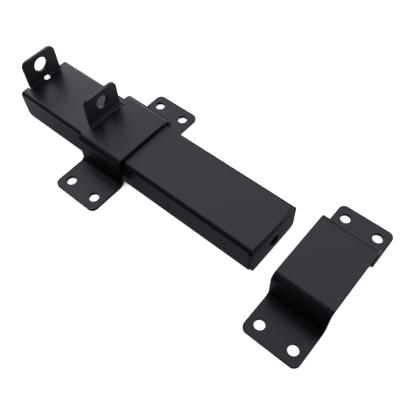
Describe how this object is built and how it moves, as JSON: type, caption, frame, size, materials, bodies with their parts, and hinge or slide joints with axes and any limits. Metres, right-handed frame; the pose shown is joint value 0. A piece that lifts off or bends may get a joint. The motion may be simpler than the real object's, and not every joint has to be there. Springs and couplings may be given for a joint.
{
  "type": "padbolt",
  "caption": "Folded steel padbolt: a channel-section bolt slides under a top-hat guide bracket into a separate receiver bracket, with padlock ears on the bolt and on the guide.",
  "frame": {"origin": "centre of the guide bracket's fixing holes, on the mounting face", "axes": "+X along the bolt towards the receiver bracket, +Y across the bolt, +Z away from the mounting face"},
  "size_m": [0.3632, 0.15, 0.0633],
  "materials": {
    "bolt_coat": "fine-textured satin black powder coat on steel",
    "bracket_coat": "fine-textured satin black powder coat on steel"
  },
  "bodies": {
    "brackets": {"guide_bracket": "bracket_coat", "receiver_bracket": "bracket_coat"},
    "sliding_bolt": {"bolt": "bolt_coat"}
  },
  "joints": [
    {"name": "bolt_slide", "type": "slide", "parent": "brackets", "child": "sliding_bolt", "axis": [1, 0, 0], "range_m": [-0.145, 0.0845]}
  ]
}
